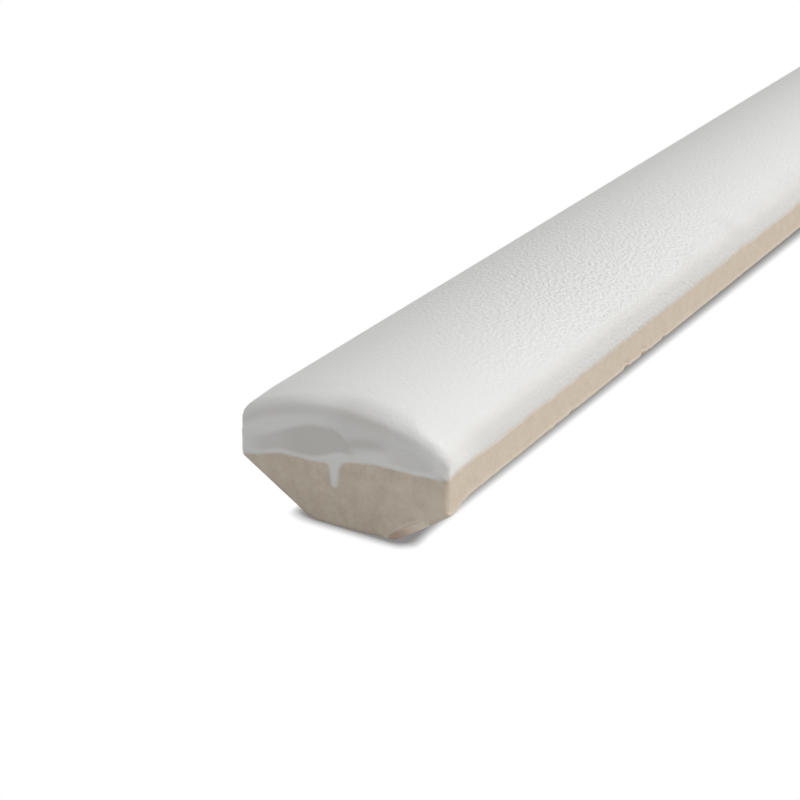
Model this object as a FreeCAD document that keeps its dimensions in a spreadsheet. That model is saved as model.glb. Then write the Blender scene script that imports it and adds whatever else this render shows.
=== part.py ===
import FreeCAD, Part
import math
import os
import Sketcher

# Bullnose tile: one fired ceramic strip with a domed face, short upright sides,
# sloping undercut flanks and a flat back. Length runs along X, width along Y,
# and the back lies on Z = 0. The bare side faces -Y, the glazed side +Y.
# Sizes are in millimetres and angles in degrees.

SIZES = [
    ("tile_length", "200", "overall length"),
    ("tile_width", "20", "overall width, across the upright sides"),
    ("tile_thickness", "11.2", "overall thickness, from the back to the top of the crown"),
    ("crown_radius", "22", "radius of the domed face"),
    ("glazed_shoulder", "1.2", "rounding between the crown and the glazed side"),
    ("butt_shoulder", "3", "rounding between the crown and the bare side"),
    ("end_round", "1.8", "rounding of the crown down into the two ends"),
    ("flank_height", "4.25", "height of the sloping flanks above the back"),
    ("glazed_undercut", "6.9", "run of the flank under the glazed side"),
    ("butt_undercut", "5.2", "run of the flank under the bare side"),
    ("side_arris", "0.6", "rounding between each upright side and its flank"),
    ("back_arris", "2", "rounding between each flank and the back"),
    ("chip_place", "1.4", "middle of the chip, up the flank from the back"),
    ("chip_reach", "2.9", "half the length of the chip along the flank"),
    ("chip_depth", "0.7", "bite of the chip into the end, square to the flank"),
    ("chip_run", "0.3", "bite of the chip along the tile"),
]

START, END, MIDDLE = range(1, 4)
AXES = {"level": -1, "upright": -2}
ORIGIN = (-1, 1)

doc = FreeCAD.newDocument("bullnose_tile")


def make_sheet():
    """Fill the sheet of driving sizes, one named row for each."""
    sheet = doc.addObject("Spreadsheet::Sheet", "Sizes")
    for row, (name, value, meaning) in enumerate(SIZES, start=1):
        sheet.set(f"A{row}", meaning)
        sheet.set(f"B{row}", value)
        sheet.setAlias(f"B{row}", name)
    doc.recompute()
    return sheet


def size(name):
    """The number held in one row of the sheet."""
    return float(sheet.get(name))


def point(across, up):
    """A point of a sketch."""
    return FreeCAD.Vector(across, up, 0)


def origin_plane(body, role):
    """The body's own origin plane that has this role."""
    for feature in body.Origin.OriginFeatures:
        if feature.Role == role:
            return feature
    raise RuntimeError(f"{body.Label} has no {role}")


def new_sketch(body, name, role):
    """An empty sketch on one of the body's own origin planes."""
    sketch = body.newObject("Sketcher::SketchObject", name)
    sketch.AttachmentSupport = [(origin_plane(body, role), "")]
    sketch.MapMode = "FlatFace"
    return sketch


def join_ends(sketch, kind, lines):
    """Join each line's end to the start of the next one."""
    for line, following in zip(lines, lines[1:]):
        sketch.addConstraint(Sketcher.Constraint(kind, line, END, following, START))


def add_size(sketch, name, expression, *constraint):
    """A named dimension of the sketch, bound to the sheet."""
    index = sketch.addConstraint(Sketcher.Constraint(*constraint))
    sketch.renameConstraint(index, name)
    sketch.setExpression(f"Constraints.{name}", expression)


def shoulder_points(radius):
    """Points of a shoulder on the side of positive width: its foot, middle and head, on the crown."""
    big = size("crown_radius")
    inset = size("tile_width") / 2 - radius
    centre = size("tile_thickness") - big
    rise = ((big - radius) ** 2 - inset ** 2) ** 0.5
    bend = radius / 2 ** 0.5
    reach = big / (big - radius)
    return (point(inset + radius, centre + rise),
            point(inset + bend, centre + rise + bend),
            point(inset * reach, centre + rise * reach))


def across(place):
    """The same point on the other side of the middle."""
    return point(-place.x, place.y)


def arris_points(before, corner, after, radius):
    """Points of the arc that blunts a corner: where it starts, its middle and where it ends."""
    inward = (before - corner).normalize()
    onward = (after - corner).normalize()
    half_turn = inward.getAngle(onward) / 2
    run = radius / math.tan(half_turn)
    depth = radius / math.sin(half_turn) - radius
    return corner + inward * run, corner + (inward + onward).normalize() * depth, corner + onward * run


def draw_section(body):
    """Draw the cross-section: back, flanks, sides, shoulders and crown, joined by tangent arcs."""
    half = size("tile_width") / 2
    low = size("flank_height")
    top = size("tile_thickness")
    glazed_foot, glazed_bend, glazed_head = shoulder_points(size("glazed_shoulder"))
    butt_foot, butt_bend, butt_head = map(across, shoulder_points(size("butt_shoulder")))
    corners = [butt_foot, point(-half, low), point(size("butt_undercut") - half, 0),
               point(half - size("glazed_undercut"), 0), point(half, low), glazed_foot]
    radii = [size(name) for name in ("side_arris", "back_arris", "back_arris", "side_arris")]
    arrises = [arris_points(*corners[number:number + 3], radius) for number, radius in enumerate(radii)]

    section = new_sketch(body, "section", "YZ_Plane")
    chain = []
    begin = butt_foot
    for arc_start, arc_middle, arc_end in arrises:
        chain.append(section.addGeometry(Part.LineSegment(begin, arc_start)))
        chain.append(section.addGeometry(Part.Arc(arc_start, arc_middle, arc_end)))
        begin = arc_end
    chain += [
        section.addGeometry(Part.LineSegment(begin, glazed_foot)),
        section.addGeometry(Part.Arc(glazed_foot, glazed_bend, glazed_head)),
        section.addGeometry(Part.Arc(glazed_head, point(0, top), butt_head)),
        section.addGeometry(Part.Arc(butt_head, butt_bend, butt_foot)),
    ]
    (butt_side, butt_arris, butt_flank, butt_back_arris, back, glazed_back_arris,
     glazed_flank, glazed_arris, glazed_side, glazed_shoulder, crown, butt_shoulder) = chain
    join_ends(section, "Tangent", chain + chain[:1])

    # The sharp corners that the arrises blunt, and the top of the crown, carry the sizes
    butt_corner, back_butt, back_glazed, glazed_corner, summit = [
        section.addGeometry(Part.Point(place), True) for place in corners[1:5] + [point(0, top)]]
    on_lines = [
        (butt_corner, butt_side), (butt_corner, butt_flank), (back_butt, butt_flank), (back_butt, back),
        (back_glazed, back), (back_glazed, glazed_flank), (glazed_corner, glazed_flank),
        (glazed_corner, glazed_side), (summit, crown), (summit, AXES["upright"]),
    ]
    section.addConstraint([
        Sketcher.Constraint("PointOnObject", mark, START, line) for mark, line in on_lines])
    section.addConstraint([
        Sketcher.Constraint("PointOnObject", back, START, AXES["level"]),
        Sketcher.Constraint("PointOnObject", back, END, AXES["level"]),
        Sketcher.Constraint("Vertical", butt_side),
        Sketcher.Constraint("Vertical", glazed_side),
        Sketcher.Constraint("Symmetric", glazed_corner, START, butt_corner, START, AXES["upright"]),
        Sketcher.Constraint("PointOnObject", crown, MIDDLE, AXES["upright"]),
        Sketcher.Constraint("Equal", butt_arris, glazed_arris),
        Sketcher.Constraint("Equal", butt_back_arris, glazed_back_arris),
    ])
    add_size(section, "tile_width", "Sizes.tile_width",
             "DistanceX", butt_corner, START, glazed_corner, START, 2 * half)
    add_size(section, "tile_thickness", "Sizes.tile_thickness",
             "DistanceY", back_glazed, START, summit, START, top)
    add_size(section, "flank_height", "Sizes.flank_height",
             "DistanceY", back_glazed, START, glazed_corner, START, low)
    add_size(section, "glazed_undercut", "Sizes.glazed_undercut",
             "DistanceX", back_glazed, START, glazed_corner, START, size("glazed_undercut"))
    add_size(section, "butt_undercut", "Sizes.butt_undercut",
             "DistanceX", butt_corner, START, back_butt, START, size("butt_undercut"))
    for arc, name in ((crown, "crown_radius"), (glazed_shoulder, "glazed_shoulder"),
                      (butt_shoulder, "butt_shoulder"), (glazed_arris, "side_arris"),
                      (glazed_back_arris, "back_arris")):
        add_size(section, name, f"Sizes.{name}", "Radius", arc, size(name))
    doc.recompute()
    return section


def draw_end_waste(body):
    """Draw the waste above the rounded end of the crown, with the crown's own axis."""
    end = -size("tile_length") / 2
    top = size("tile_thickness")
    radius = size("end_round")
    level = top - size("crown_radius")
    bend = radius / 2 ** 0.5
    head = point(end + radius, top)
    middle = point(end + radius - bend, top - radius + bend)
    foot = point(end, top - radius)
    low_corner = point(end - radius, top - radius)
    high_corner = point(end - radius, top + radius)
    near_corner = point(end + radius, top + radius)

    waste = new_sketch(body, "end_waste", "XZ_Plane")
    rounding = waste.addGeometry(Part.Arc(head, middle, foot))
    under = waste.addGeometry(Part.LineSegment(foot, low_corner))
    outer = waste.addGeometry(Part.LineSegment(low_corner, high_corner))
    over = waste.addGeometry(Part.LineSegment(high_corner, near_corner))
    drop = waste.addGeometry(Part.LineSegment(near_corner, head))
    axis = waste.addGeometry(Part.LineSegment(point(end, level), point(end + radius, level)), True)

    join_ends(waste, "Coincident", [rounding, under, outer, over, drop, rounding])
    waste.addConstraint([
        Sketcher.Constraint("Horizontal", under),
        Sketcher.Constraint("Vertical", outer),
        Sketcher.Constraint("Horizontal", over),
        Sketcher.Constraint("Vertical", drop),
        Sketcher.Constraint("Equal", under, drop),
        Sketcher.Constraint("Vertical", rounding, MIDDLE, rounding, START),
        Sketcher.Constraint("Horizontal", rounding, MIDDLE, rounding, END),
        Sketcher.Constraint("Horizontal", axis),
        Sketcher.Constraint("Vertical", axis, START, rounding, END),
        Sketcher.Constraint("Vertical", axis, END, rounding, START),
    ])
    add_size(waste, "end_round", "Sizes.end_round", "Radius", rounding, radius)
    add_size(waste, "clearance", "Sizes.end_round", "DistanceX", under, END, under, START, radius)
    add_size(waste, "half_length", "Sizes.tile_length / 2",
             "DistanceX", rounding, END, *ORIGIN, -end)
    add_size(waste, "tile_thickness", "Sizes.tile_thickness",
             "DistanceY", *ORIGIN, rounding, START, top)
    add_size(waste, "crown_radius", "Sizes.crown_radius",
             "DistanceY", axis, START, rounding, START, top - level)
    doc.recompute()
    return waste


def check_cut(feature, before):
    """Stop unless the feature took some of the tile away, and only a little."""
    removed = before.Shape.Volume - feature.Shape.Volume
    if not 0 < removed < before.Shape.Volume / 10:
        raise RuntimeError(f"{feature.Label} removed {removed} cubic millimetres")


sheet = make_sheet()
tile = doc.addObject("PartDesign::Body", "bullnose_tile")
tile.Label = "bullnose_tile"

# The strip, with its section along the whole length
section = draw_section(tile)
strip = tile.newObject("PartDesign::Pad", "strip")
strip.Profile = section
strip.SideType = "Symmetric"
strip.setExpression("Length", "Sizes.tile_length")
doc.recompute()

# The crown rounds down into both ends, turned about the crown's own axis
end_waste = draw_end_waste(tile)
near_end = tile.newObject("PartDesign::Groove", "near_end")
near_end.Profile = end_waste
near_end.ReferenceAxis = (end_waste, ["Axis0"])
near_end.Angle = 360
doc.recompute()
check_cut(near_end, strip)
far_end = tile.newObject("PartDesign::Mirrored", "far_end")
far_end.Originals = [near_end]
far_end.MirrorPlane = (origin_plane(tile, "YZ_Plane"), [""])
tile.Tip = far_end
doc.recompute()
check_cut(far_end, near_end)

# The chip out of the end's lower edge, lying along the flank on the bare side
slope = "atan2(Sizes.flank_height; Sizes.butt_undercut)"
chip = tile.newObject("PartDesign::SubtractiveEllipsoid", "chip")
chip.Placement.Rotation = FreeCAD.Rotation(FreeCAD.Vector(-1, 0, 0), 1)
chip.setExpression("Placement.Rotation.Angle", slope)
chip.setExpression("Placement.Base.x", "-Sizes.tile_length / 2")
chip.setExpression("Placement.Base.y",
                   f"Sizes.butt_undercut - Sizes.tile_width / 2 - Sizes.chip_place * cos({slope})")
chip.setExpression("Placement.Base.z", f"Sizes.chip_place * sin({slope})")
chip.setExpression("Radius1", "Sizes.chip_depth")
chip.setExpression("Radius2", "Sizes.chip_run")
chip.setExpression("Radius3", "Sizes.chip_reach")
doc.recompute()
check_cut(chip, far_end)
tile.Tip = chip
doc.recompute()

for item in doc.Objects:
    if "Invalid" in item.State or "Error" in item.State:
        raise RuntimeError(f"{item.Label} did not build")
if tile.Shape.isNull() or not tile.Shape.isValid() or len(tile.Shape.Solids) != 1:
    raise RuntimeError("the tile is not one sound solid")

os.makedirs("parts", exist_ok=True)
tile.Shape.exportStep(f"parts/{tile.Label}.step")
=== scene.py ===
import math

import bmesh
import bpy
from bpy.props import FloatProperty, FloatVectorProperty, PointerProperty
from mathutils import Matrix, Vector, noise


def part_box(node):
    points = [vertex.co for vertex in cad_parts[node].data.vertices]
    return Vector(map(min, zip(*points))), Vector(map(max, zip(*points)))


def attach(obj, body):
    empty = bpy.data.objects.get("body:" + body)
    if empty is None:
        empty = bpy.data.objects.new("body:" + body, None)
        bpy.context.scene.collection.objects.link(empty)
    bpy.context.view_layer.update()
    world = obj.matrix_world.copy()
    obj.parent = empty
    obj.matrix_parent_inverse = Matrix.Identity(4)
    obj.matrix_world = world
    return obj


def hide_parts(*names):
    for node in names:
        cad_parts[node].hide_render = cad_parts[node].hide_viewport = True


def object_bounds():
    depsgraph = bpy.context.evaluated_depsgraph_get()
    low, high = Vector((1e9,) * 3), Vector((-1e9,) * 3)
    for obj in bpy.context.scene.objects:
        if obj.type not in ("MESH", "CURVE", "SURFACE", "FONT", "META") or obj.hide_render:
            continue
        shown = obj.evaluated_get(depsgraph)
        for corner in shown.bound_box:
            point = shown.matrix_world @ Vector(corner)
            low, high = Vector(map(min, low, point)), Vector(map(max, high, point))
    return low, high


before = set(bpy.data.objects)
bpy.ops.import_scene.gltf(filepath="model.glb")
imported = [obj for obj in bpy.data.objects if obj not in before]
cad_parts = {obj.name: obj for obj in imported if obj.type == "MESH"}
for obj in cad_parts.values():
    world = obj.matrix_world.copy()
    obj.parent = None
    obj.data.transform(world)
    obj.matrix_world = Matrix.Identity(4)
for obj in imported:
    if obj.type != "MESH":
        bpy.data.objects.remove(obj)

bl_info = {
    "name": "Bullnose tile",
    "version": (1, 0, 0),
    "blender": (4, 5, 0),
    "location": "View3D > Sidebar > Tile",
    "description": "Models a satin-glazed bullnose trim tile around its packed CAD solid",
    "category": "Object",
}

MM = 0.001
NODE = "bullnose_tile"
CAD_LOW, CAD_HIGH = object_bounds()
TILE_LOW, TILE_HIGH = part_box(NODE)

# Mesh density: steps round the section, rows up the sides and ends, rings along the length
BUTT_SHOULDER_STEPS = 20
CROWN_STEPS = 34
GLAZED_SHOULDER_STEPS = 8
ARRIS_STEPS = 5
BUTT_FLANK_STEPS = 12
BACK_STEPS = 14
GLAZED_FLANK_STEPS = 16
SIDE_ROWS = 20
EDGE_RINGS = 4
END_RINGS = 9
RINGS = 430

# Place, half length and depth of the nibbles in the bare side's lower edge, in millimetres
NIBBLES = ((22.4, 0.5, 0.1), (33.7, 0.6, 0.2), (37.5, 0.55, 0.18), (42.2, 0.5, 0.16))

# Drop of the clay that hangs beside the chip, and lift of the back's corner there, in millimetres
BURR_DROP = 0.6
BACK_LIFT = 0.2

# Even part of the spacing of the rings, which otherwise widens towards the far end
EVEN_SPACING = 0.62

# The crown near its ends: how slowly its middle rolls down, how much quicker its bare side does,
# and how far it sags, in millimetres
SLOW_ROLL = 0.56
QUICK_ROLL = 0.14
CROWN_SAG = 0.2

# Painted shade on the glaze, from 0 to 1: down the bare side, where the glaze also runs thinner, at the
# near corner, and over the near roll
SIDE_THINNING_AND_SHADE = 0.95
CORNER_SHADE = 0.6
ROLL_SHADE = 0.45

# Reach of the contact shadow at the near end, and where along the tile it is widest
SHADOW_NEAR = 1.35 * MM
SHADOW_WIDE = 2.1 * MM
SHADOW_WIDE_PLACE = 30 * MM

# Strength of the even light from all round, next to 1 for white
ROOM_LIGHT = 0.53


def linear(code):
    """Turn an sRGB hex code into linear red, green and blue."""
    parts = [int(code[place:place + 2], 16) / 255 for place in (1, 3, 5)]
    return [part / 12.92 if part <= 0.04045 else ((part + 0.055) / 1.055) ** 2.4 for part in parts]


def length(name, description, millimetres):
    """A length that the user can change."""
    return FloatProperty(name=name, description=description, default=millimetres * MM,
                         min=0, precision=5, unit="LENGTH")


def colour(name, description, code):
    """A colour that the user can change."""
    return FloatVectorProperty(name=name, description=description, default=linear(code),
                               size=3, min=0, max=1, subtype="COLOR")


class TileSizes(bpy.types.PropertyGroup):
    """Sizes of the tile, its glaze and its damage."""
    tile_length: length("Length", "Overall length", (TILE_HIGH.x - TILE_LOW.x) / MM)
    tile_width: length("Width", "Overall width", (TILE_HIGH.y - TILE_LOW.y) / MM)
    tile_thickness: length("Thickness", "Back to top of crown", (TILE_HIGH.z - TILE_LOW.z) / MM)
    crown_radius: length("Crown radius", "Radius of the domed face", 22)
    glazed_shoulder: length("Glazed shoulder", "Rounding between crown and glazed side", 1.2)
    butt_shoulder: length("Butt shoulder", "Rounding between crown and bare side", 3)
    end_round: length("End rounding", "Rounding of the crown into the ends", 1.8)
    end_edge: length("End edges", "Small rounding all round each end", 0.42)
    flank_height: length("Flank height", "Height of the sloping flanks", 4.25)
    glazed_undercut: length("Glazed undercut", "Run of the flank under the glazed side", 6.9)
    butt_undercut: length("Butt undercut", "Run of the flank under the bare side", 5.2)
    side_arris: length("Side arris", "Rounding between each side and its flank", 0.6)
    back_arris: length("Back arris", "Rounding between each flank and the back", 2)
    chip_place: length("Chip place", "Middle of the chip, up the flank from the back", 1.4)
    chip_reach: length("Chip reach", "Half the chip's length along the flank", 2.9)
    chip_depth: length("Chip depth", "Bite of the chip into the end", 0.7)
    chip_run: length("Chip run", "Bite of the chip along the tile", 0.3)
    glaze_depth: length("Glaze depth", "Thickness of the glaze on the face and sides", 0.1)
    end_glaze_depth: length("End glaze depth", "Greatest thickness of the glaze on the ends", 0.24)
    body_recess: length("Body recess", "Depth of the bare body behind the glaze on the ends", 0.17)
    glaze_roll: length("Glaze roll", "Width of the rolled edge of the glaze", 0.28)
    drip_place: length("Drip place", "Drip on the chipped end, from the middle", 0.7)
    drip_tip: length("Drip tip", "Height of the drip's tip above the back", 3.6)
    drip_half_width: length("Drip half width", "Half the width of the drip near its tip", 0.3)


class TileColours(bpy.types.PropertyGroup):
    """Colours of the tile and its stage."""
    glaze: colour("Glaze", "Opaque white satin glaze", "#E7E7E5")
    # Thin glaze, and also the colour of painted shade on the glaze
    thin_glaze_and_shade: colour("Thin glaze", "Glaze so thin that the body shows through", "#D1CFCB")
    biscuit: colour("Biscuit", "Fired body", "#DDD2C2")
    mottle: colour("Mottle", "Tint of the darker clouds in the fired body", "#EBE7E6")
    # Painted shade: a darker copy of the body colour for the bare side, which faces the key light
    biscuit_side_shade: colour("Biscuit, side", "Fired body on the bare long side", "#CFC1AF")
    worn: colour("Worn edge", "Paler rubbed edges of the fired body", "#DED1C1")
    # Reddish broken body, also darkened as painted shade low in the chip where it faces down
    broken_and_shade: colour("Broken body", "Weathered surface of the chip", "#CBB3A3")
    # Painted highlight: a pale line along the chip's rim, where its edge catches the light
    chip_rim_highlight: colour("Chip rim", "Fresh pale lip round the chip", "#F2E8DA")
    floor: colour("Floor", "Studio floor", "#D8D8D8")
    contact: colour("Contact shadow", "Floor where the tile meets it", "#8A8988")


def smooth(low, high, value):
    """Ease from 0 at low to 1 at high."""
    part = min(max((value - low) / (high - low), 0), 1)
    return part * part * (3 - 2 * part)


def hump(middle, spread, value):
    """A smooth rise to 1 at the middle that dies away within about two spreads."""
    return math.exp(-((value - middle) / spread) ** 2)


def mix(one, other, part):
    """A value between two others."""
    return one + (other - one) * part


def rounded(radius, depth):
    """How far a rounding of this radius draws the surface in, this deep behind its edge."""
    return radius - math.sqrt(radius ** 2 - max(radius - depth, 0) ** 2)


def wander(place, grain, seed):
    """Smooth noise from -1 to 1, whose bumps are about one grain across."""
    return noise.noise(Vector((place[0] / grain + seed, place[1] / grain, place[2] / grain)))


class Blank:
    """The sizes of the tile in millimetres, with what follows from them."""

    def __init__(self, sizes):
        for name in TileSizes.__annotations__:
            setattr(self, name, getattr(sizes, name) / MM)
        self.end = self.tile_length / 2
        self.side = self.tile_width / 2
        self.crown_level = self.tile_thickness - self.crown_radius
        self.butt_slope = math.atan2(self.flank_height, self.butt_undercut)
        self.glazed_slope = math.atan2(self.flank_height, self.glazed_undercut)

    def shoulder(self, radius):
        """Height of a shoulder's centre, and its tilt from upright where it meets the crown."""
        across, reach = self.side - radius, self.crown_radius - radius
        return self.crown_level + math.sqrt(reach ** 2 - across ** 2), math.asin(across / reach)

    def arris_top(self, slope):
        """Height where a side's arris begins."""
        return self.flank_height + self.side_arris * math.tan((math.pi / 2 - slope) / 2)

    def end_top(self, across, depth=0):
        """Height of the crown near an end, this deep in from it."""
        radius = self.crown_radius - rounded(self.end_round, depth)
        return self.crown_level + math.sqrt(radius ** 2 - across ** 2)


class Outline:
    """A line of vertices drawn across the near end, arc by arc and run by run."""

    def __init__(self, bm, start):
        self.bm = bm
        self.x = start[0]
        self.tip = bm.verts.new(start)
        self.runs = []

    def arc(self, across, height, angle, steps):
        """Carry the line on along an arc about this centre."""
        made = bmesh.ops.spin(self.bm, geom=[self.tip], cent=(self.x, across, height), axis=(1, 0, 0),
                              dvec=(0, 0, 0), angle=angle, steps=steps)
        self.tip = made["geom_last"][0]

    def run(self, across, height, steps):
        """Carry the line on straight to this point."""
        made = bmesh.ops.extrude_vert_indiv(self.bm, verts=[self.tip])
        self.tip = made["verts"][0]
        self.tip.co = (self.x, across, height)
        self.runs.append((made["edges"][0], steps))

    def cut_runs(self):
        """Cut the straight runs into their steps."""
        for edge, steps in self.runs:
            bmesh.ops.subdivide_edges(self.bm, edges=[edge], cuts=steps - 1)


def draw_end(bm, blank):
    """Draw the section at the near end, drawn in by the rounding of its edges, and fill it."""
    near, side, inset = -blank.end, blank.side - blank.end_edge, blank.end_edge
    butt_level, butt_tilt = blank.shoulder(blank.butt_shoulder)
    glazed_level, glazed_tilt = blank.shoulder(blank.glazed_shoulder)
    quarter = math.pi / 2
    upper = Outline(bm, (near, -side, butt_level))
    upper.arc(blank.butt_shoulder - blank.side, butt_level, butt_tilt - quarter, BUTT_SHOULDER_STEPS)
    upper.arc(0, blank.crown_level, -butt_tilt - glazed_tilt, CROWN_STEPS)
    upper.arc(blank.side - blank.glazed_shoulder, glazed_level, glazed_tilt - quarter,
              GLAZED_SHOULDER_STEPS)

    butt, glazed = blank.butt_slope, blank.glazed_slope
    side_radius, back_radius = blank.side_arris - inset, blank.back_arris - inset
    arris_across = blank.side - blank.side_arris
    butt_back = blank.butt_undercut - blank.side + blank.back_arris * math.tan(butt / 2)
    glazed_back = blank.side - blank.glazed_undercut - blank.back_arris * math.tan(glazed / 2)
    lower = Outline(bm, (near, -side, blank.arris_top(butt)))
    lower.arc(-arris_across, blank.arris_top(butt), quarter - butt, ARRIS_STEPS)
    lower.run(butt_back - back_radius * math.sin(butt), blank.back_arris - back_radius * math.cos(butt),
              BUTT_FLANK_STEPS)
    lower.arc(butt_back, blank.back_arris, butt, ARRIS_STEPS)
    lower.run(glazed_back, inset, BACK_STEPS)
    lower.arc(glazed_back, blank.back_arris, glazed, ARRIS_STEPS)
    lower.run(arris_across + side_radius * math.sin(glazed),
              blank.arris_top(glazed) - side_radius * math.cos(glazed), GLAZED_FLANK_STEPS)
    lower.arc(arris_across, blank.arris_top(glazed), quarter - glazed, ARRIS_STEPS)
    lower.cut_runs()
    return bmesh.ops.bridge_loops(bm, edges=bm.edges[:])["faces"]


def ring_place(blank, ring):
    """Place along the tile of a ring: fine round the end edges, then wider towards the far end."""
    to_end = min(ring, RINGS - ring)
    facing = -1 if ring < RINGS / 2 else 1
    if to_end <= EDGE_RINGS:
        return facing * (blank.end - blank.end_edge * (1 - math.cos(math.pi / 2 * to_end / EDGE_RINGS)))
    if to_end <= EDGE_RINGS + END_RINGS:
        part = (to_end - EDGE_RINGS) / END_RINGS
        return facing * (blank.end - mix(blank.end_edge, blank.end_round, part))
    outer = EDGE_RINGS + END_RINGS
    part = (ring - outer) / (RINGS - 2 * outer)
    middle_length = blank.tile_length - 2 * blank.end_round
    eased = EVEN_SPACING * part + (1 - EVEN_SPACING) * part ** 3
    return middle_length * eased - middle_length / 2


def draw_out(bm, blank, end_faces):
    """Draw the filled section out to the tile's length, in rings that swell to its full section."""
    made = bmesh.ops.extrude_face_region(bm, geom=end_faces)
    far_verts = [item for item in made["geom"] if isinstance(item, bmesh.types.BMVert)]
    bmesh.ops.translate(bm, verts=far_verts, vec=(blank.tile_length, 0, 0))
    long_edges = [edge for edge in bm.edges if edge.calc_length() > blank.end]
    bmesh.ops.subdivide_edges(bm, edges=long_edges, cuts=RINGS - 1, use_grid_fill=True)
    bmesh.ops.recalc_face_normals(bm, faces=bm.faces)
    bm.normal_update()
    for vert in bm.verts:
        ring = round((vert.co.x + blank.end) / blank.tile_length * RINGS)
        vert.co.x = ring_place(blank, ring)
        fall = max(blank.end_edge - blank.end + abs(vert.co.x), 0)
        outward = Vector((0, vert.normal.y, vert.normal.z)).normalized()
        vert.co += outward * math.sqrt(max(blank.end_edge ** 2 - fall ** 2, 0))


def roll_pace(across):
    """How quickly the crown rolls down into an end: slowest in its middle, quickest by the bare side."""
    slow = smooth(6, 0, across) * smooth(-7.5, -4.5, across)
    return mix(1, SLOW_ROLL, slow) + QUICK_ROLL * smooth(-5, -7.5, across)


def round_ends(bm, blank):
    """Round the crown and the bare side's shoulder down into both ends."""
    butt_level, butt_tilt = blank.shoulder(blank.butt_shoulder)
    middle = blank.butt_shoulder - blank.side
    for vert in bm.verts:
        across, height = vert.co.y, vert.co.z
        depth = blank.end - abs(vert.co.x)
        turn = math.atan2(height - butt_level, middle - across)
        pace = roll_pace(across)
        if across < middle and 0 <= turn < math.pi / 2 - butt_tilt and depth < blank.end_round:
            upward = smooth(math.radians(4), math.radians(30), turn)
            radius = mix(blank.end_edge, blank.end_round, upward)
            reach = blank.butt_shoulder - rounded(radius, depth * mix(1, pace, upward))
            vert.co.y = middle - reach * math.cos(turn)
            vert.co.z = butt_level + reach * math.sin(turn)
        elif height > butt_level and depth * pace < blank.end_round:
            inward = rounded(blank.end_round, depth * pace) - rounded(blank.end_edge, depth)
            vert.co.y -= inward * across / blank.crown_radius * smooth(0, -4, across)
            vert.co.z = min(height, blank.end_top(vert.co.y, depth * pace))
        vert.co.z -= CROWN_SAG * smooth(5, 0.3, depth) * smooth(6, 8.5, vert.co.z)


def cut_rows(bm, blank):
    """Cut the sides and ends into rows, and the ends once more, finest at the near end."""
    waist = (blank.arris_top(blank.glazed_slope) + blank.shoulder(blank.butt_shoulder)[0]) / 2
    upright = [edge for edge in bm.edges
               if min(vert.co.z for vert in edge.verts) < waist < max(vert.co.z for vert in edge.verts)]
    bmesh.ops.subdivide_edges(bm, edges=upright, cuts=SIDE_ROWS - 1, use_grid_fill=True)
    for place, cuts in ((-blank.end, 2), (blank.end, 1)):
        faces = [face for face in bm.faces if all(abs(vert.co.x - place) < 1e-4 for vert in face.verts)]
        edges = list({edge for face in faces for edge in face.edges})
        bmesh.ops.subdivide_edges(bm, edges=edges, cuts=cuts, use_grid_fill=True)


def near_glaze_line(right):
    """Height of the glaze's lower edge on the near end, by the distance right of the middle."""
    left_rise = 0.95 * smooth(-9.8, -5.2, right)
    middle_rise = 1.22 * smooth(-3.5, 4, right)
    right_rise = 0.14 * smooth(6, 10, right)
    corner_rise = 0.2 * smooth(9.2, 10, right)
    return 4.5 + left_rise + middle_rise + right_rise + corner_rise


def fold_line(right):
    """Height on the near end down to which the glaze has slumped thick."""
    rise = 2.65 * smooth(-9.5, -1.8, right)
    return 6.35 + rise - 0.8 * hump(0.7, 0.9, right) - 1.2 * smooth(2.5, 8, right)


def glaze_line(blank, place):
    """Height of the glaze's lower edge on whichever upright face is nearest."""
    along = place.x + blank.end
    butt = 7.12 + 0.25 * smooth(20, 110, along)
    butt += 0.16 * wander((along, 0, 0), 6, 3) + 0.08 * wander((along, 0, 0), 1.9, 9)
    butt += 0.28 * hump(62.5, 1.5, along) - 0.15 * hump(66, 1.8, along) - 0.2 * hump(0, 1.3, along)
    glazed = 4.2 + 0.12 * wander((along, 5, 0), 7, 4) + 0.06 * wander((along, 5, 0), 1.6, 2)
    near = near_glaze_line(-place.y) + 0.07 * wander(place, 1.1, 6)
    far = near_glaze_line(-place.y) + 0.3 * wander(place, 4, 12) + 0.08 * wander(place, 1.2, 7)
    lines = ((blank.side + place.y, butt), (blank.side - place.y, glazed),
             (blank.end + place.x, near), (blank.end - place.x, far))
    weights = [math.exp(-distance / 0.35) for distance, line in lines]
    total = sum(weights)
    if total < 1e-9:
        return blank.flank_height
    return sum(weight * line for weight, (distance, line) in zip(weights, lines)) / total


def drip(blank, right, height):
    """Depth inside the hanging drip, positive within it, with a blunt tip."""
    above = height - blank.drip_tip
    half_width = blank.drip_half_width * (1 + 0.28 * max(above, 0) + 0.05 * max(above, 0) ** 2)
    half_width *= math.sqrt(smooth(-0.1, 0.35, above))
    return min(half_width - abs(right + blank.drip_place), above)


def soft_max(one, other, blend):
    """The larger of two values, with a smooth join."""
    part = max(blend - abs(one - other), 0) / blend
    return max(one, other) + part * part * blend / 4


def glaze_edge(blank, place):
    """Distance in from the glaze's edge, negative on the bare body."""
    edge = place.z - glaze_line(blank, place)
    if place.x < -blank.end + 0.3 and edge < 1:
        edge = soft_max(edge, drip(blank, -place.y, place.z), 0.7)
    return edge


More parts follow.
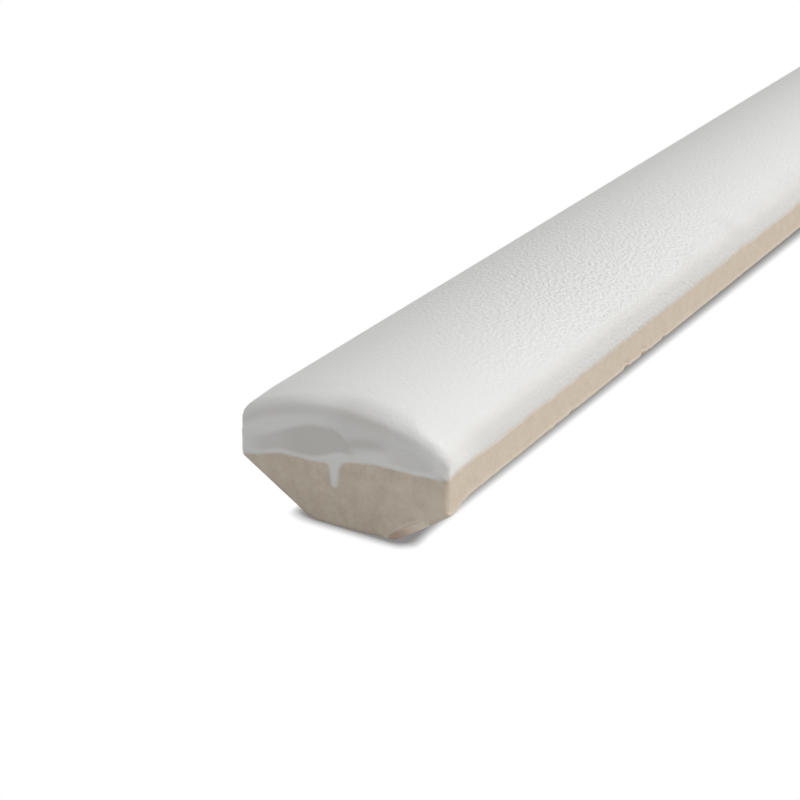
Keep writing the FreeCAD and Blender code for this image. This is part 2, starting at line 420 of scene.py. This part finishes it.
def near_end_glaze(blank, place):
    """Thickness and coverage of the glaze on the near end: slumped fold, thin glaze under it, and bead,
    with painted shade under the rim, in a recess and on the right.
    """
    right, height = -place.y, place.z
    below = blank.end_top(place.y) - height
    above_line = height - near_glaze_line(right)
    rim = 0.2 - 0.17 * smooth(-1.3, -0.55, below)
    fold = fold_line(right)
    in_fold = smooth(fold - 0.5, fold + 0.26, height)
    thin_part = smooth(-9.9, -7.2, right) * smooth(1.7, 0.6, right)
    folded = mix(0.05, rim + 0.21 * smooth(-0.3, 0.6, below), in_fold)
    folded += 0.03 * wander(place, 1.4, 21) * (1 - in_fold) + 0.08 * hump(0.25, 0.25, above_line)
    plain = rim + 0.08 * smooth(-0.3, 0.4, below) + 0.06 * hump(0.45, 0.35, above_line)
    plain -= 0.04 * hump(1.35, 0.5, above_line) * smooth(7, 4, right)
    bead = 0.2 + 0.55 * hump(-0.3, 1.7, right)
    bare = (1 - in_fold) * thin_part * smooth(bead, bead + 0.4, above_line)
    bare *= mix(0.7, 1, smooth(-7, -4, right))
    # Painted shade: a dark band of thin-glaze colour just under the rounded rim of the near end
    rim_shade = 0.55 * hump(-0.8, 0.45, below) * smooth(8.5, 5, right)
    # Painted shade: thin-glaze colour in a recess above the bead, right of the fold's dip
    hollow_shade = 0.85 * hump(1.6, 0.55, above_line) * smooth(0, 0.9, right) * smooth(6.5, 1, right)
    # Painted shade: thin-glaze colour on the plain glaze right of the middle, under the rim
    right_shade = 0.42 * smooth(3.5, 5.5, right) * smooth(0.3, 0.7, above_line)
    right_shade *= smooth(-0.9, -0.1, below)
    thickness = mix(plain, folded, thin_part) + 0.08 * smooth(0, -0.5, above_line)
    return thickness, 1 - max(bare, rim_shade, hollow_shade, right_shade)


def rubbed(blank, place):
    """How far the glaze on the near end is rubbed through to the body, from 0 to 1."""
    if place.x > -blank.end + 0.3:
        return 0
    right, above_line = -place.y, place.z - near_glaze_line(-place.y)
    patch = hump(0.4, 1.3, right) * hump(1.65, 0.35, above_line)
    return patch * smooth(-0.15, 0.3, wander(place, 0.55, 61))


def lay_glaze(blank, place, edge, near):
    """Thickness and coverage of the glaze, by how far the place belongs to an end; the coverage also
    carries painted shade.
    """
    if edge <= 0:
        return 0, 1
    at_end, cover_and_shade = blank.end_glaze_depth, 1
    if place.x < 0:
        at_end, cover_and_shade = near_end_glaze(blank, place)
        cover_and_shade = mix(1, cover_and_shade, near)
    along = place.x + blank.end
    # Painted shade down the bare shoulder, where the glaze is also made thinner; less of it by the near
    # end
    thinned_and_shaded = SIDE_THINNING_AND_SHADE * smooth(3, 1.1, edge) * smooth(0, -2, place.y) * (1 - near)
    thinned_and_shaded *= mix(0.4, 1, smooth(1.5, 7, along))
    full = mix(blank.glaze_depth * (1 - thinned_and_shaded), at_end, near)
    roll = min(edge / blank.glaze_roll, 1)
    rolled = mix(smooth(0, 1, roll), math.sqrt(1 - (1 - roll) ** 2), near)
    # Painted shade at the near corner of the bare shoulder
    corner_shade = CORNER_SHADE * smooth(5, 0.6, along) * smooth(-8.6, -9.6, place.y)
    # Painted shade over the crown's roll into the near end
    roll_shade = ROLL_SHADE * smooth(2.9, 1.5, along) * smooth(7.6, 8.4, place.z)
    roll_shade *= smooth(2.5, -0.5, place.y) * smooth(-5.5, -3.5, place.y)
    return max(full, 0.01) * rolled, cover_and_shade - max(thinned_and_shaded, corner_shade, roll_shade)


def chip_frame(blank, place):
    """A place beside the chip: how far up the flank, square in from it, and in from the end."""
    cosine, sine = math.cos(blank.butt_slope), math.sin(blank.butt_slope)
    across = blank.side - blank.butt_undercut + place.y
    return (-across * cosine + place.z * sine - blank.chip_place,
            across * sine + place.z * cosine,
            place.x + blank.end)


def chip_edge(blank, place):
    """Distance out from the chip's rim along the end, negative within the chip."""
    up_flank, inward, depth = chip_frame(blank, place)
    span = math.sqrt(max(1 - (up_flank / blank.chip_reach) ** 2, 0))
    return max(inward - blank.chip_depth * span, abs(up_flank) - blank.chip_reach) + max(depth - 0.2, 0)


def break_chip(blank, place):
    """Where a point of the near end falls in the chip: the moved point, or nothing outside it."""
    cosine, sine = math.cos(blank.butt_slope), math.sin(blank.butt_slope)
    up_flank, inward, depth = chip_frame(blank, place)
    span = 1 - (up_flank / blank.chip_reach) ** 2
    if span <= 0 or depth >= blank.chip_run:
        return None
    span = math.sqrt(span)
    floor = max(-blank.chip_place - up_flank, 0) * sine / cosine
    rim = blank.chip_depth * span
    if floor >= rim or inward >= rim:
        return None
    start = math.asin(floor / rim)
    middle = (start + math.pi / 2) / 2
    if depth < 1e-3:
        turn = mix(middle, math.pi / 2, (inward - floor) / (rim - floor))
    else:
        reach = blank.chip_run * span * math.cos(math.asin(min(max(inward, 0) / rim, 1)))
        if depth >= reach:
            return None
        turn = mix(middle, start, depth / reach)
    depth = blank.chip_run * span * math.cos(turn)
    inward = rim * math.sin(turn)
    up_flank += blank.chip_place
    return Vector((depth - blank.end,
                   blank.butt_undercut - blank.side - up_flank * cosine + inward * sine,
                   up_flank * sine + inward * cosine))


def nibbles(along):
    """Bite out of the bare side's lower edge: a few clear nibbles and a little unevenness."""
    clear = sum(depth * math.sqrt(max(1 - ((along - place) / reach) ** 2, 0))
                for place, reach, depth in NIBBLES)
    return clear + 0.05 * max(wander((along, 0, 0), 1.7, 51), 0) + 0.05 * wander((along, 0, 0), 0.7, 57)


def burr(blank, place):
    """Drop of the bare side's lower corner, where the clay hangs down at the near end."""
    right, along = -place.y, place.x + blank.end
    flank = blank.flank_height * (right - blank.side + blank.butt_undercut) / blank.butt_undercut
    across = smooth(blank.side - blank.butt_undercut - 0.5, blank.side, right)
    return BURR_DROP * across * hump(1.2, 1.4, along) * smooth(1.6, 0.1, place.z - max(flank, 0))


def back_lift(blank, place):
    """Lift of the back's corner at the near end, beside the chip."""
    corner = blank.butt_undercut - blank.side + 0.7
    along = place.x + blank.end
    return BACK_LIFT * hump(corner, 2, place.y) * smooth(3, 0, along) * smooth(1.5, 0, place.z)


def leather_strength(blank, place):
    """Strength of the glaze's leathery skin: least at the near end and along the glazed side."""
    along = place.x + blank.end
    lengthwise = mix(0.2, 1.4, smooth(4, 40, along)) * mix(1, 0.35, smooth(32, 85, along))
    return lengthwise * mix(0.7, 1.2, smooth(6, -6, place.y))


def wear(normal, to_arris):
    """Wear of the body round the bare side's lower edge, most of all on the near end."""
    return max(0.2 * smooth(0.3, 0.1, to_arris), -0.8 * normal.x * smooth(3, 0.6, to_arris))


def soften(bm, times, verts):
    """Smooth these vertices over and over."""
    for _ in range(times):
        bmesh.ops.smooth_vert(bm, verts=verts, factor=0.5,
                              use_axis_x=True, use_axis_y=True, use_axis_z=True)


def finish_surface(bm, blank):
    """Lay the glaze on, roughen the bare body, wear its edges and break the chip out."""
    edge_layer = bm.verts.layers.float.new("glaze_edge")
    cover_and_shade_layer = bm.verts.layers.float.new("glaze_cover_and_shade")
    chip_layer = bm.verts.layers.float.new("chip_edge")
    worn_layer = bm.verts.layers.float.new("worn")
    leather_layer = bm.verts.layers.float.new("leather")
    side_shade_layer = bm.verts.layers.float.new("bare_side_shade_and_mottle")
    broken_and_shade_layer = bm.verts.layers.float.new("broken_and_shade")
    bm.normal_update()
    moves = []
    for vert in bm.verts:
        place = vert.co.copy()
        near = smooth(1.4, 0.2, blank.end - abs(place.x)) * smooth(0.1, 0.6, abs(vert.normal.x))
        edge = glaze_edge(blank, place)
        thickness, cover_and_shade = lay_glaze(blank, place, edge, near)
        vert[edge_layer] = min(max(edge * mix(0.55, 1, near), -2), mix(0.6, 0, rubbed(blank, place)))
        # Glaze coverage holds real thin glaze and painted shade alike
        vert[cover_and_shade_layer] = cover_and_shade
        vert[chip_layer] = min(max(chip_edge(blank, place), -2), 2)
        # Strength of the broken colour: fades up the flank, so the low part of the chip carries painted
        # shade
        vert[broken_and_shade_layer] = smooth(2.3, -0.6, chip_frame(blank, place)[0])
        vert[leather_layer] = leather_strength(blank, place)
        to_arris = math.hypot(place.y + blank.side, place.z - blank.flank_height)
        vert[worn_layer] = wear(vert.normal, to_arris)
        # How far a face turns to the bare side: it takes the darker body copy, painted shade, and
        # fainter clouds
        vert[side_shade_layer] = smooth(0.1, 0.6, -vert.normal.y)

        sink = min(mix(blank.glaze_depth, blank.end_glaze_depth, near) - thickness, blank.body_recess)
        if edge < 0:
            sink += 0.02 + 0.02 * wander(place, 0.9, 31)
        if place.z > 8:
            sink += 0.03 * (1 + wander(place, 22, 40)) * (1 - near)
        square = (1 - smooth(0.05, 0.4, -vert.normal.z)) * (1 - smooth(0.93, 0.98, abs(vert.normal.x)))
        inward = Vector((-vert.normal.x, -vert.normal.y * square, -vert.normal.z * square))
        target = place + inward * max(sink, 0)

        arris = smooth(1.1, 0.2, to_arris)
        if arris > 0:
            target += Vector((0, 0.65, 0.76)) * nibbles(place.x + blank.end) * arris
        target = break_chip(blank, place) or target
        target.z += back_lift(blank, place) - burr(blank, place)
        moves.append((vert, target))
    for vert, target in moves:
        vert.co = target
    soften(bm, 12, [vert for vert in bm.verts if vert.co.y + blank.side < 0.9 and 4.5 < vert.co.z < 6.6
                    and blank.end - abs(vert.co.x) < 0.9])
    soften(bm, 8, [vert for vert in bm.verts if blank.side - vert.co.y < 0.7 and 6.6 < vert.co.z < 8.4
                   and blank.end - abs(vert.co.x) < 0.7])


def make_tile_mesh(blank):
    """Model the tile in millimetres and return its mesh in metres."""
    bm = bmesh.new()
    end_faces = draw_end(bm, blank)
    draw_out(bm, blank, end_faces)
    round_ends(bm, blank)
    cut_rows(bm, blank)
    bmesh.ops.recalc_face_normals(bm, faces=bm.faces)
    finish_surface(bm, blank)
    for face in bm.faces:
        face.smooth = True
    bmesh.ops.scale(bm, vec=(MM, MM, MM), verts=bm.verts)
    mesh = bpy.data.meshes.new("glazed_bullnose")
    bm.to_mesh(mesh)
    bm.free()
    return mesh


def add_node(tree, kind, inputs=None, **settings):
    """Add a node with its settings, and give each input a value or a link."""
    node = tree.nodes.new(kind)
    for name, value in settings.items():
        setattr(node, name, value)
    for key, value in (inputs or {}).items():
        if isinstance(value, bpy.types.NodeSocket):
            tree.links.new(value, node.inputs[key])
        else:
            node.inputs[key].default_value = value
    return node


def per_metre(millimetres):
    """The texture scale whose features are this many millimetres across."""
    return 1 / (millimetres * MM)


def rgba(value):
    """A colour property with full opacity."""
    return (*value, 1)


def glazed_biscuit(colours):
    """Satin white glaze, fired on a beige biscuit body.

    The glaze is opaque and softly shiny, with the fine leathery skin of a matt glaze.
    The body is dry and matt, with a sandy grain and cloudy mottling.
    """
    material = bpy.data.materials.new("satin_glazed_biscuit")
    material.use_nodes = True
    tree = material.node_tree
    shader = tree.nodes["Principled BSDF"]
    where = add_node(tree, "ShaderNodeTexCoord").outputs["Object"]
    edge, cover_and_shade, chip, worn, leather, side, broken_and_shade = [
        add_node(tree, "ShaderNodeAttribute", attribute_name=name).outputs["Fac"]
        for name in ("glaze_edge", "glaze_cover_and_shade", "chip_edge", "worn", "leather", "bare_side_shade_and_mottle", "broken_and_shade")]

    glazed = add_node(tree, "ShaderNodeMapRange",
                      {"Value": edge, "From Min": -0.12, "From Max": 0.16}).outputs["Result"]
    in_chip = add_node(tree, "ShaderNodeMapRange",
                       {"Value": chip, "From Min": 0.06, "From Max": -0.3}).outputs["Result"]
    in_chip = add_node(tree, "ShaderNodeMath", {0: in_chip, 1: broken_and_shade}, operation="MULTIPLY").outputs[0]

    clouds = add_node(tree, "ShaderNodeTexNoise",
                      {"Vector": where, "Scale": per_metre(1.4), "Detail": 5,
                       "Roughness": 0.7}).outputs["Fac"]
    strength = add_node(tree, "ShaderNodeMapRange",
                        {"Value": side, "To Min": 1, "To Max": 0.5}).outputs["Result"]
    clouds = add_node(tree, "ShaderNodeMapRange",
                      {"Value": clouds, "From Min": 0.35, "From Max": 0.7,
                       "To Max": strength}).outputs["Result"]
    # Painted shade: the bare side takes the darker copy of the body colour by its facing
    body = add_node(tree, "ShaderNodeMix",
                    {0: side, 6: rgba(colours.biscuit), 7: rgba(colours.biscuit_side_shade)},
                    data_type="RGBA").outputs[2]
    body = add_node(tree, "ShaderNodeMix", {0: clouds, 6: body, 7: rgba(colours.mottle)},
                    data_type="RGBA", blend_type="MULTIPLY").outputs[2]
    body = add_node(tree, "ShaderNodeMix", {0: worn, 6: body, 7: rgba(colours.worn)},
                    data_type="RGBA").outputs[2]
    # Painted highlight: the pale line along the chip's rim
    rim = add_node(tree, "ShaderNodeMapRange",
                   {"Value": chip, "From Min": 0.3, "From Max": 0, "To Max": 0.75}).outputs["Result"]
    body = add_node(tree, "ShaderNodeMix", {0: rim, 6: body, 7: rgba(colours.chip_rim_highlight)},
                    data_type="RGBA").outputs[2]
    # Broken body colour in the chip, with painted shade low on the flank
    body = add_node(tree, "ShaderNodeMix", {0: in_chip, 6: body, 7: rgba(colours.broken_and_shade)},
                    data_type="RGBA").outputs[2]
    # Less coverage mixes in the thin-glaze colour: real thin glaze, and painted shade on the near end
    # and shoulders
    glaze = add_node(tree, "ShaderNodeMix",
                     {0: cover_and_shade, 6: rgba(colours.thin_glaze_and_shade), 7: rgba(colours.glaze)},
                     data_type="RGBA").outputs[2]
    surface = add_node(tree, "ShaderNodeMix", {0: glazed, 6: body, 7: glaze},
                       data_type="RGBA").outputs[2]
    tree.links.new(surface, shader.inputs["Base Color"])

    rough = add_node(tree, "ShaderNodeMapRange",
                     {"Value": glazed, "To Min": 0.9, "To Max": 0.45}).outputs["Result"]
    tree.links.new(rough, shader.inputs["Roughness"])

    # The sand in the body is drawn as coarse as its largest grains, because finer ones don't show
    grain = add_node(tree, "ShaderNodeTexNoise",
                     {"Vector": where, "Scale": per_metre(0.3), "Detail": 3}).outputs["Fac"]
    grain = add_node(tree, "ShaderNodeMath", {0: grain, 1: 0.3}, operation="MULTIPLY").outputs[0]
    skin = add_node(tree, "ShaderNodeTexNoise",
                    {"Vector": where, "Scale": per_metre(0.38), "Detail": 1.5}).outputs["Fac"]
    skin = add_node(tree, "ShaderNodeMath", {0: skin, 1: leather}, operation="MULTIPLY").outputs[0]
    relief = add_node(tree, "ShaderNodeMix", {0: glazed, 2: grain, 3: skin},
                      data_type="FLOAT").outputs[0]
    bump = add_node(tree, "ShaderNodeBump", {"Height": relief, "Strength": 1, "Distance": 0.13 * MM})
    tree.links.new(bump.outputs["Normal"], shader.inputs["Normal"])
    shader.inputs["IOR"].default_value = 1.5
    shader.inputs["Specular IOR Level"].default_value = 0.25
    return material


def white_card(colours):
    """White card of the studio floor.

    It is plain white to the eye, with the tile's close contact shadow, and throws little light back.
    """
    material = bpy.data.materials.new("white_card")
    material.use_nodes = True
    tree = material.node_tree
    tree.nodes.clear()
    rays = add_node(tree, "ShaderNodeLightPath").outputs
    seen = add_node(tree, "ShaderNodeMath",
                    {0: rays["Is Camera Ray"], 1: rays["Is Glossy Ray"]}).outputs[0]
    seen = add_node(tree, "ShaderNodeMath", {0: seen, 1: rays["Is Transmission Ray"]},
                    use_clamp=True).outputs[0]
    where = add_node(tree, "ShaderNodeTexCoord").outputs["Object"]
    along = add_node(tree, "ShaderNodeSeparateXYZ", {0: where}).outputs["X"]
    width = add_node(tree, "ShaderNodeMapRange",
                     {"Value": along, "From Min": CAD_LOW.x, "From Max": SHADOW_WIDE_PLACE,
                      "To Min": SHADOW_NEAR, "To Max": SHADOW_WIDE}).outputs["Result"]
    open_part = add_node(tree, "ShaderNodeAmbientOcclusion", {"Distance": width}).outputs["AO"]
    open_part = add_node(tree, "ShaderNodeMapRange",
                         {"Value": open_part, "From Min": 0.4, "From Max": 0.91}).outputs["Result"]
    shade = add_node(tree, "ShaderNodeMix", {0: open_part, 6: rgba(colours.contact), 7: (1, 1, 1, 1)},
                     data_type="RGBA").outputs[2]
    glow = add_node(tree, "ShaderNodeEmission", {"Color": shade, "Strength": 1}).outputs[0]
    card = add_node(tree, "ShaderNodeBsdfDiffuse", {"Color": rgba(colours.floor)}).outputs[0]
    both = add_node(tree, "ShaderNodeMixShader", {0: seen, 1: card, 2: glow}).outputs[0]
    add_node(tree, "ShaderNodeOutputMaterial", {"Surface": both})
    return material


class TILE_OT_tile(bpy.types.Operator):
    """Model the glazed tile in place of its plain solid"""
    bl_idname = "bullnose.tile"
    bl_label = "Glazed tile"

    def execute(self, context):
        mesh = make_tile_mesh(Blank(context.scene.tile_sizes))
        mesh.materials.append(glazed_biscuit(context.scene.tile_colours))
        tile = bpy.data.objects.new("glazed_bullnose", mesh)
        context.scene.collection.objects.link(tile)
        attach(tile, "root")
        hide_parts(NODE)
        return {"FINISHED"}


class TILE_OT_stage(bpy.types.Operator):
    """Set up the floor, the light and the camera"""
    bl_idname = "bullnose.stage"
    bl_label = "Stage"

    def execute(self, context):
        scene = context.scene
        scene.view_settings.view_transform = "Standard"
        self.lay_floor(scene)
        self.hang_lights(scene)
        self.place_camera(scene)
        return {"FINISHED"}

    def lay_floor(self, scene):
        """Lay the white floor that the tile stands on."""
        bm = bmesh.new()
        bmesh.ops.create_grid(bm, x_segments=1, y_segments=1, size=4)
        mesh = bpy.data.meshes.new("floor")
        bm.to_mesh(mesh)
        bm.free()
        mesh.materials.append(white_card(scene.tile_colours))
        floor = bpy.data.objects.new("floor", mesh)
        scene.collection.objects.link(floor)

    def hang_lights(self, scene):
        """Light the tile evenly from all round, with a broad key light on the bare side.

        The glint lights no surface by itself: it only shows in the gloss of the glaze.
        """
        world = bpy.data.worlds.new("studio")
        world.use_nodes = True
        tree = world.node_tree
        light = tree.nodes["Background"]
        light.inputs["Color"].default_value = (1, 1, 1, 1)
        seen = add_node(tree, "ShaderNodeLightPath").outputs["Is Camera Ray"]
        strength = add_node(tree, "ShaderNodeMapRange",
                            {"Value": seen, "To Min": ROOM_LIGHT, "To Max": 1}).outputs["Result"]
        tree.links.new(strength, light.inputs["Strength"])
        scene.world = world

        self.hang_lamp(scene, "key", strength=1.89, spread=40, towards=(0.75, -1.15, 0.9))
        glint = self.hang_lamp(scene, "glint", strength=1.6, spread=35, towards=(0.46, -0.15, 0.87))
        glint.visible_diffuse = False

    def hang_lamp(self, scene, name, strength, spread, towards):
        """Hang a far lamp this way from the tile, as broad as this many degrees."""
        light = bpy.data.lights.new(name, "SUN")
        light.energy = strength
        light.angle = math.radians(spread)
        lamp = bpy.data.objects.new(name, light)
        lamp.rotation_euler = Vector(towards).to_track_quat("Z", "Y").to_euler()
        scene.collection.objects.link(lamp)
        return lamp

    def place_camera(self, scene):
        """Look down along the tile from the chipped end, past the bare side."""
        turn = math.radians(31.138)
        tilt = math.radians(24.372)
        back = Vector((-math.cos(turn) * math.cos(tilt),
                       -math.sin(turn) * math.cos(tilt),
                       math.sin(tilt)))
        camera = bpy.data.cameras.new("camera")
        camera.sensor_width = 36
        camera.lens = 81.07
        camera.clip_start = 0.01
        viewer = bpy.data.objects.new("camera", camera)
        viewer.location = Vector((-209.002, -71.501, 70.682)) * MM
        viewer.rotation_euler = back.to_track_quat("Z", "Y").to_euler()
        scene.collection.objects.link(viewer)
        scene.camera = viewer


class TILE_PT_panel(bpy.types.Panel):
    """Lists the tile's pieces, sizes and colours"""
    bl_idname = "TILE_PT_panel"
    bl_label = "Bullnose tile"
    bl_space_type = "VIEW_3D"
    bl_region_type = "UI"
    bl_category = "Tile"

    def draw(self, context):
        for operator in (TILE_OT_tile, TILE_OT_stage):
            self.layout.operator(operator.bl_idname)
        for group in (context.scene.tile_sizes, context.scene.tile_colours):
            for name in type(group).__annotations__:
                self.layout.prop(group, name)


CLASSES = (TileSizes, TileColours, TILE_OT_tile, TILE_OT_stage, TILE_PT_panel)


def register():
    """Add the classes, and the sizes and colours of the scene."""
    for item in CLASSES:
        bpy.utils.register_class(item)
    bpy.types.Scene.tile_sizes = PointerProperty(type=TileSizes)
    bpy.types.Scene.tile_colours = PointerProperty(type=TileColours)


def unregister():
    """Take away what register adds."""
    del bpy.types.Scene.tile_colours
    del bpy.types.Scene.tile_sizes
    for item in reversed(CLASSES):
        bpy.utils.unregister_class(item)


def main():
    """Build the tile and its stage."""
    register()
    bpy.ops.bullnose.tile()
    bpy.ops.bullnose.stage()


if __name__ == "__main__":
    main()
